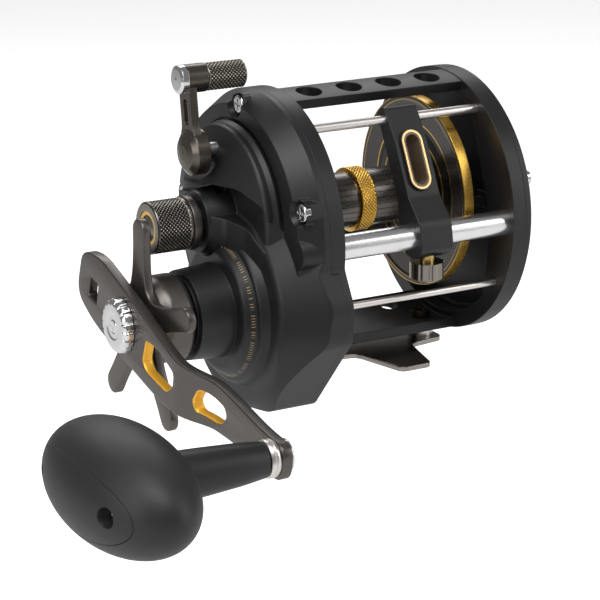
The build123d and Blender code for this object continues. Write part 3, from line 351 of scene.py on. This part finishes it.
def round_profile(pts, steps=5):
    """(x, r, fillet) corners to a polyline with the corners rounded."""
    out = []
    n = len(pts)
    for i in range(n):
        p = Vector(pts[i][:2])
        f = pts[i][2] if len(pts[i]) > 2 else 0
        if f <= 0:
            out.append((p.x, p.y))
            continue
        a, b2 = Vector(pts[i - 1][:2]) - p, Vector(pts[(i + 1) % n][:2]) - p
        f = min(f, a.length * 0.45, b2.length * 0.45)
        s, e = p + a.normalized() * f, p + b2.normalized() * f
        for k in range(steps + 1):
            t = k / steps
            q = s * (1 - t) ** 2 + p * 2 * t * (1 - t) + e * t * t
            out.append((q.x, q.y))
    return out


def knurl_profile(x0, x1, r, n, pitch, depth, seg, rows):
    """Rows of a diamond-knurled band between x0 and x1."""
    def shape(t, x, rr):
        if rr < r - 0.2 or x < x0 - 1e-6 or x > x1 + 1e-6:
            return rr
        u = n * t / (2 * math.pi)
        v = (x - x0) / pitch
        a, b2 = (u + v) % 1.0, (u - v) % 1.0
        h = 1.0 - 2.0 * max(abs(a - 0.5), abs(b2 - 0.5))
        fade = min(1.0, (x - x0) / 0.25, (x1 - x) / 0.25)
        return rr - depth * (1 - min(1.0, h * 1.5)) * max(0.0, fade)
    return [(x0 + (x1 - x0) * k / rows, r) for k in range(rows + 1)], shape


def outline_mesh(name, outer, holes, x_of, thick, bevel=0.5, cuts=(), res=3, axis_u=None):
    """Bevelled plate from a closed (u, v) outline with holes. x_of(u) is the plate's middle plane; (u, v) go to
    layout Y, Z through axis_u."""
    cu = bpy.data.curves.new(name, "CURVE")
    cu.dimensions = "2D"
    cu.fill_mode = "BOTH"
    cu.extrude = thick / 2 - bevel
    cu.bevel_depth = bevel
    cu.bevel_resolution = res
    cu.offset = -bevel
    for pts in [outer, *holes]:
        sp = cu.splines.new("POLY")
        sp.points.add(len(pts) - 1)
        for p, q in zip(sp.points, pts):
            p.co = (q[0], q[1], 0, 1)
        sp.use_cyclic_u = True
    tmp = bpy.data.objects.new(name + "_c", cu)
    bpy.context.scene.collection.objects.link(tmp)
    dg = bpy.context.evaluated_depsgraph_get()
    me = bpy.data.meshes.new_from_object(tmp.evaluated_get(dg))
    bpy.data.objects.remove(tmp)
    bm = bmesh.new()
    bm.from_mesh(me)
    bmesh.ops.remove_doubles(bm, verts=bm.verts, dist=1e-4)
    for c in cuts:
        geom = bm.verts[:] + bm.edges[:] + bm.faces[:]
        bmesh.ops.bisect_plane(bm, geom=geom, plane_co=(c, 0, 0), plane_no=(1, 0, 0))
    for v in bm.verts:
        u, w, h = v.co
        y, z = axis_u(u, w)
        v.co = P(x_of(u) + h, y, z)
    bmesh.ops.recalc_face_normals(bm, faces=bm.faces)
    bm.to_mesh(me)
    bm.free()
    return me


def fillet2d(pts, steps=6):
    return round_profile(pts, steps)


# ------------------------------------------------------------------ handle arm
DIR = math.atan2(KZ - HZ, KY - HY)
EY, EZ = math.cos(DIR), math.sin(DIR)
NY, NZ = EZ, -EY


def on_arm(u, v):
    return (HY + u * EY + v * NY, HZ + u * EZ + v * NZ)


ARM_OUT = [
    (-31.2, 10.6, 7), (-33.2, -4.0, 6), (-20.0, -8.8, 8), (0.0, -10.9, 8), (24.0, -12.7, 9), (40.0, -12.0, 7),
    (56.0, -8.9, 8), (76.0, -6.3, 6), (94.1, -6.0, 5.6), (94.1, 5.9, 5.6), (80.0, 4.9, 6), (58.0, 5.8, 8), (36.0, 4.9, 7),
    (22.0, 7.6, 7), (0.0, 11.8, 8), (-18.0, 14.5, 6), (-25.5, 13.4, 4),
]
CUT1 = [(-24.2, 5.4, 1), (-18.2, 5.1, 1), (-18.7, -1.8, 1), (-24.8, -1.2, 1)]
CUT2 = [(16.2, 2.2, 1), (23.6, 3.2, 1.5), (34.6, 0.4, 1.5), (34.6, -4.0, 1.2), (31.0, -7.4, 1.5), (17.6, -7.2, 1.5), (15.0, -5.0, 1.2)]
CUT3 = [(46.2, 0.0, 1.2), (49.6, 0.9, 1.2), (58.8, 0.6, 1.2), (60.4, -1.6, 1), (58.4, -4.6, 1.2), (54.6, -6.2, 1.2), (46.0, -6.6, 1.2), (44.6, -4.2, 1.2)]
ARM_MID = (ARM_X0 + ARM_X1) / 2


def arm_x(u):
    t = min(1.0, max(0.0, (u - 35.0) / 20.0))
    return ARM_MID + DROP * (t * t * (3 - 2 * t))


def arm_material():
    m, nt, b = new_mat("arm_two_tone")
    co, x, y, z = coords(nt)
    u = math_n(nt, "ADD", math_n(nt, "MULTIPLY", math_n(nt, "SUBTRACT", y, HY), EY), math_n(nt, "MULTIPLY", math_n(nt, "SUBTRACT", z, HZ), EZ))
    v = math_n(nt, "ADD", math_n(nt, "MULTIPLY", math_n(nt, "SUBTRACT", y, HY), NY), math_n(nt, "MULTIPLY", math_n(nt, "SUBTRACT", z, HZ), NZ))
    box2 = math_n(nt, "MULTIPLY", band(nt, u, 14.0, 35.6, 0.02), band(nt, v, -8.2, 4.0, 0.02))
    box3 = math_n(nt, "MULTIPLY", band(nt, u, 43.8, 61.2, 0.02), band(nt, v, -7.2, 1.6, 0.02))
    g = node(nt, "ShaderNodeNewGeometry")
    sn = nt.nodes.new("ShaderNodeSeparateXYZ")
    nt.links.new(g.outputs["True Normal"], sn.inputs[0])
    side = math_n(nt, "LESS_THAN", math_n(nt, "ABSOLUTE", sn.outputs[0]), 0.93)
    mask = math_n(nt, "MULTIPLY", math_n(nt, "MAXIMUM", box2, box3), side)
    col = mix_col(nt, mask, GUN, (1.0, 0.56, 0.06))
    nt.links.new(mix_val(nt, mask, 0.85, 0.45), b.inputs["Metallic"])
    finish_mat(nt, b, co, 0.33, spread=0.05, bump=0.05, edge=0.2, base=col, scale=300.0)
    return m


M["arm"] = arm_material()
dbl = []
for k in range(28):
    t = 2 * math.pi * k / 28
    dbl.append((3.3 * math.cos(t), 3.3 * math.sin(t)))
eye = [(math.hypot(KY - HY, KZ - HZ) + 2.62 * math.cos(2 * math.pi * k / 28), 2.62 * math.sin(2 * math.pi * k / 28)) for k in range(28)]
me = outline_mesh(
    "arm", fillet2d(ARM_OUT), [fillet2d(CUT1), fillet2d(CUT2), fillet2d(CUT3), dbl, eye], arm_x, ARM_X1 - ARM_X0, 0.55,
    cuts=[35, 37, 39, 42, 45, 48, 51, 53, 55], axis_u=on_arm,
)
add("arm_power_handle", me, M["arm"], "crank", "gunmetal", "handle_arm", smooth=38)


# ------------------------------------------------------------------ handle nut
def nut_shape(t, x, r):
    if r < 6.0:
        return r
    c = math.cos(18 * t)
    return r - 0.42 * max(0.0, c) ** 3


prof = round_profile([(-109.85, 2.5), (-109.85, 8.9, 0.3), (-112.2, 8.5, 0.5), (-113.15, 7.2, 0.5), (-113.15, 4.4, 0.3), (-112.9, 3.9, 0.2), (-112.9, 2.3), (-111.4, 2.1)], 5)
me = lathe("nut", prof, HY, HZ, 288, nut_shape)
add("nut_scalloped", me, M["chrome_part"], "crank", "chrome_part", "handle_nut", smooth=40)
prof = round_profile([(-112.9, 0.02), (-113.1, 1.8, 0.3), (-112.7, 2.28, 0.1), (-111.0, 2.3), (-111.0, 0.02)], 4)
me = lathe("shaft_end", prof, HY, HZ, 48)
add("shaft_end_dome", me, M["chrome_part"], "crank", "chrome_part")

# ------------------------------------------------------------------ star drag
def on_star(u, v):
    return (HY + u, HZ + v)


pts = []
for k in range(5):
    a0 = math.radians(92 + 72 * k)
    end = 33.2 if k == 0 else 35.5
    tip = [(end - 3.8 + 3.8 * math.cos(math.radians(q)), 3.8 * math.sin(math.radians(q)), 0) for q in range(-90, 91, 12)]
    arm_pts = [(11.0, -5.6, 2.0), (17.0, -4.0, 3.0), (25.0, -3.6, 3.0)] + tip + [(25.0, 3.6, 3.0), (17.0, 4.0, 3.0), (11.0, 5.6, 2.0)]
    for u, v, f in arm_pts:
        pts.append((u * math.cos(a0) - v * math.sin(a0), u * math.sin(a0) + v * math.cos(a0), f))
hole = [(5.1 * math.cos(2 * math.pi * k / 40), 5.1 * math.sin(2 * math.pi * k / 40)) for k in range(40)]
me = outline_mesh("star", fillet2d(pts, 6), [hole], lambda u: -103.0, 2.8, 0.55, axis_u=on_star)
star = add("star_wheel", me, M["gunmetal"], "star", "gunmetal", "star_drag", smooth=38)
prof = round_profile([(-91.25, 8.25), (-91.25, 13.3, 0.3), (-92.4, 13.85, 0.4), (-98.8, 13.85, 1.2), (-101.4, 12.4, 0.5), (-101.65, 11.4, 0.2), (-101.65, 5.1), (-93.6, 5.1), (-93.6, 8.25)], 6)
me = lathe("star_barrel", prof, HY, HZ, 160)
add("star_hub", me, M["gunmetal"], "star", "gunmetal", smooth=38)

# ----------------------------------------------------- knurled and turned parts
def knurl_material(name, y0, z0, r0, depth, light, dark, gold=None):
    """Metal with painted shade that darkens the knurl's grooves; gold is an optional (radius, radius, x limit) ring on
    the end face.
    """
    m, nt, b = new_mat(name)
    co, x, y, z = coords(nt)
    r, a = radius(nt, y, z, y0, z0)
    # painted shade: the colour goes from the metal's tone to dark with depth into the knurl's grooves
    groove_shade_mask = math_n(nt, "MULTIPLY", math_n(nt, "DIVIDE", math_n(nt, "SUBTRACT", r0 - depth * 0.25, r), depth * 0.5, clamp=True), math_n(nt, "GREATER_THAN", r, r0 - depth * 1.3))
    col = mix_col(nt, groove_shade_mask, light, dark)
    if gold:
        g = math_n(nt, "MULTIPLY", band(nt, r, gold[0], gold[1], 0.05), math_n(nt, "LESS_THAN", x, gold[2]))
        col = mix_col(nt, g, col, (0.95, 0.60, 0.12))
    b.inputs["Metallic"].default_value = 0.9
    finish_mat(nt, b, co, 0.27, spread=0.05, bump=0.04, edge=0.12, base=col, scale=300.0)
    return m


# the darker colour given is the painted shade in the knurl's grooves
M["cap_knurl"] = knurl_material("cap_knurl", 0.0, 0.0, 8.3, 0.42, (0.27, 0.245, 0.215), (0.012, 0.011, 0.010), (4.15, 5.35, -96.2))
rows, shp = knurl_profile(-96.5, -85.6, 8.3, 38, 1.25, 0.42, 380, 96)
prof = round_profile([(-84.7, 6.5), (-84.7, 8.28, 0.2), (-85.4, 8.3)], 3) + rows[::-1] + round_profile([(-96.7, 8.2, 0.1), (-97.0, 7.85, 0.1), (-97.0, 5.5, 0.12), (-96.7, 5.3, 0.1), (-96.7, 4.2, 0.1), (-96.2, 4.0, 0.1), (-96.95, 2.6, 1.0), (-96.95, 0.02), (-94.6, 0.02), (-94.6, 4.4), (-88.0, 4.4), (-88.0, 6.5)], 4)
me = lathe("cast_cap", prof, 0, 0, 380, shp)
add("cast_cap_knurled", me, M["cap_knurl"], "cast_control", "gunmetal", "cast_control_cap", smooth=60)
prof = round_profile([(-82.05, 6.5), (-82.05, 8.7, 0.3), (-84.55, 8.7, 0.3), (-84.55, 6.5)], 4)
me = lathe("cast_collar", prof, 0, 0, 96)
add("cast_cap_collar", me, M["gunmetal"], "cast_control", "gunmetal", smooth=38)

LTY, LTZ = 2.6, 45.0
# the darker colour given is the painted shade in the knurl's grooves
M["bar_knurl"] = knurl_material("bar_knurl", LTY, LTZ, 4.38, 0.36, (0.27, 0.25, 0.205), (0.014, 0.013, 0.011))
rows, shp = knurl_profile(-75.0, -62.4, 4.38, 20, 1.25, 0.36, 240, 100)
prof = [(-61.82, 0.02)] + round_profile([(-61.82, 3.6, 0.3), (-62.2, 4.2, 0.2)], 3) + rows[::-1] + round_profile([(-75.3, 4.3), (-75.58, 3.9, 0.1)], 3) + [(-75.58, 0.02)]
me = lathe("thumb_bar", prof, LTY, LTZ, 240, shp)
add("thumb_bar_knurled", me, M["bar_knurl"], "lever", "bronze_trim", "lever_thumb_bar", smooth=60)

rows, shp = knurl_profile(-24.9, -19.9, 10.48, 54, 1.1, 0.26, 540, 42)
prof = [(-25.15, 8.65)] + round_profile([(-25.15, 10.3, 0.15)], 3) + rows + round_profile([(-19.65, 10.3, 0.15)], 3) + [(-19.65, 8.65)]
me = lathe("arbor_band_m", prof, 0, 0, 540, shp)
add("arbor_band_knurled", me, M["gold_trim"], "spool", "gold_trim", "arbor_band", smooth=60)


# --------------------------------------------------------- grip's turned pieces
KX = ARM_X0 + DROP
prof = round_profile([(-139.0, 2.75), (-139.0, 7.45), (-128.0, 6.9, 2), (-116.0, 6.1, 2), (KX - 3.4, 5.25, 0.4), (KX - 3.1, 4.9, 0.2), (KX - 3.1, 2.75)], 6)
me = lathe("stem_m", prof, KY, KZ, 96)
add("stem_tapered", me, M["black_plastic"], "knob", "black_plastic", "knob_stem", smooth=40)
prof = round_profile([(KX - 2.98, 2.62), (KX - 2.98, 5.5, 0.5), (KX - 1.7, 5.75, 0.4), (KX - 1.5, 5.3, 0.1), (KX - 1.3, 5.75, 0.3), (KX - 0.02, 5.6, 0.4), (KX - 0.02, 2.62)], 5)
me = lathe("ferrule_m", prof, KY, KZ, 96)
add("ferrule_ring", me, M["stainless"], "crank", "stainless", "knob_ferrule", smooth=40)
prof = round_profile([(KX + 3.42, 0.02), (KX + 3.42, 4.9, 0.3), (KX + 4.4, 4.95, 0.7), (KX + 5.35, 3.2, 0.6), (KX + 5.35, 0.02)], 6)
me = lathe("rivet_m", prof, KY, KZ, 96)
add("rivet_dome", me, M["chrome_part"], "crank", "chrome_part", "spindle_rivet", smooth=40)

# ------------------------------------------------------------ camera and light
cam_data = bpy.data.cameras.new("camera")
cam = bpy.data.objects.new("camera", cam_data)
bpy.context.scene.collection.objects.link(cam)
right, up, fwd = Vector((0.86679, -0.49868, 0.0)), Vector((0.14460, 0.25134, 0.95704)), Vector((0.47725, 0.82955, -0.28997))
rot = Matrix((right, up, -fwd)).transposed()
cam.matrix_world = Matrix.Translation(Vector((-0.397767, -0.644623, 0.245248))) @ rot.to_4x4()
cam_data.lens = 144.0
cam_data.sensor_width = 36.0
cam_data.clip_start = 0.01
cam_data.clip_end = 20.0
bpy.context.scene.camera = cam

fm, fnt, fb = new_mat("floor_pale")
fco = node(fnt, "ShaderNodeTexCoord").outputs["Object"]
fb.inputs["Base Color"].default_value = (0.9, 0.9, 0.9, 1)
fb.inputs["Roughness"].default_value = 0.8
fb.inputs["Specular IOR Level"].default_value = 0.1
flp = fnt.nodes.new("ShaderNodeLightPath")
fb.inputs["Emission Color"].default_value = (1, 1, 1, 1)
fnt.links.new(math_n(fnt, "MULTIPLY", flp.outputs["Is Camera Ray"], 0.62), fb.inputs["Emission Strength"])
bm = bmesh.new()
S = 3.0
zf = -0.105             # clear of the knob wherever the handle turns
# floor with a raised back, one smooth sweep
prof2 = [(-3.0, zf)] + [(1.6, zf)] + [(1.6 + 0.8 * math.sin(k * math.pi / 24), zf + 0.8 - 0.8 * math.cos(k * math.pi / 24)) for k in range(1, 13)] + [(2.4, 3.0)]
d = Vector((fwd.x, fwd.y, 0)).normalized()
s = Vector((right.x, right.y, 0)).normalized()
prev = None
for t, h in prof2:
    a = bm.verts.new(d * t + s * -3.5 + Vector((0, 0, h)))
    b2 = bm.verts.new(d * t + s * 3.5 + Vector((0, 0, h)))
    if prev:
        bm.faces.new((prev[0], prev[1], b2, a))
    prev = (a, b2)
fme = bpy.data.meshes.new("floor")
bm.to_mesh(fme)
bm.free()
fme.materials.append(fm)
for p in fme.polygons:
    p.use_smooth = True
floor = bpy.data.objects.new("floor", fme)
bpy.context.scene.collection.objects.link(floor)

world = bpy.data.worlds.new("world")
bpy.context.scene.world = world
world.use_nodes = True
bg = world.node_tree.nodes["Background"]
bg.inputs[0].default_value = (1.0, 1.0, 1.0, 1)
wnt = world.node_tree
lp = wnt.nodes.new("ShaderNodeLightPath")
ws = math_n(wnt, "ADD", math_n(wnt, "MULTIPLY", lp.outputs["Is Camera Ray"], 0.8), 0.2)
wnt.links.new(ws, bg.inputs[1])
centre = Vector((-0.03, -0.02, 0.04))


def area(name, az, el, dist, size, power, size_y=None):
    ld = bpy.data.lights.new(name, "AREA")
    ld.energy = power
    ld.shape = "RECTANGLE"
    ld.size = size
    ld.size_y = size_y or size
    o = bpy.data.objects.new(name, ld)
    bpy.context.scene.collection.objects.link(o)
    a, e = math.radians(az), math.radians(el)
    # azimuth 0 looks from the front (-Y); positive goes to +X
    pos = centre + Vector((math.sin(a) * math.cos(e), -math.cos(a) * math.cos(e), math.sin(e))) * dist
    o.location = pos
    o.rotation_euler = (centre - pos).to_track_quat("-Z", "Y").to_euler()
    return o


area("key_top", -35, 62, 0.9, 0.7, 5.0, 0.5)
area("left_soft", -80, 24, 0.9, 0.35, 2.4, 0.8)
area("right_soft", 48, 18, 1.0, 0.3, 2.6, 0.9)
area("rim_back", 165, 40, 1.0, 0.9, 3.0, 0.4)
bpy.context.scene.view_settings.view_transform = "Standard"
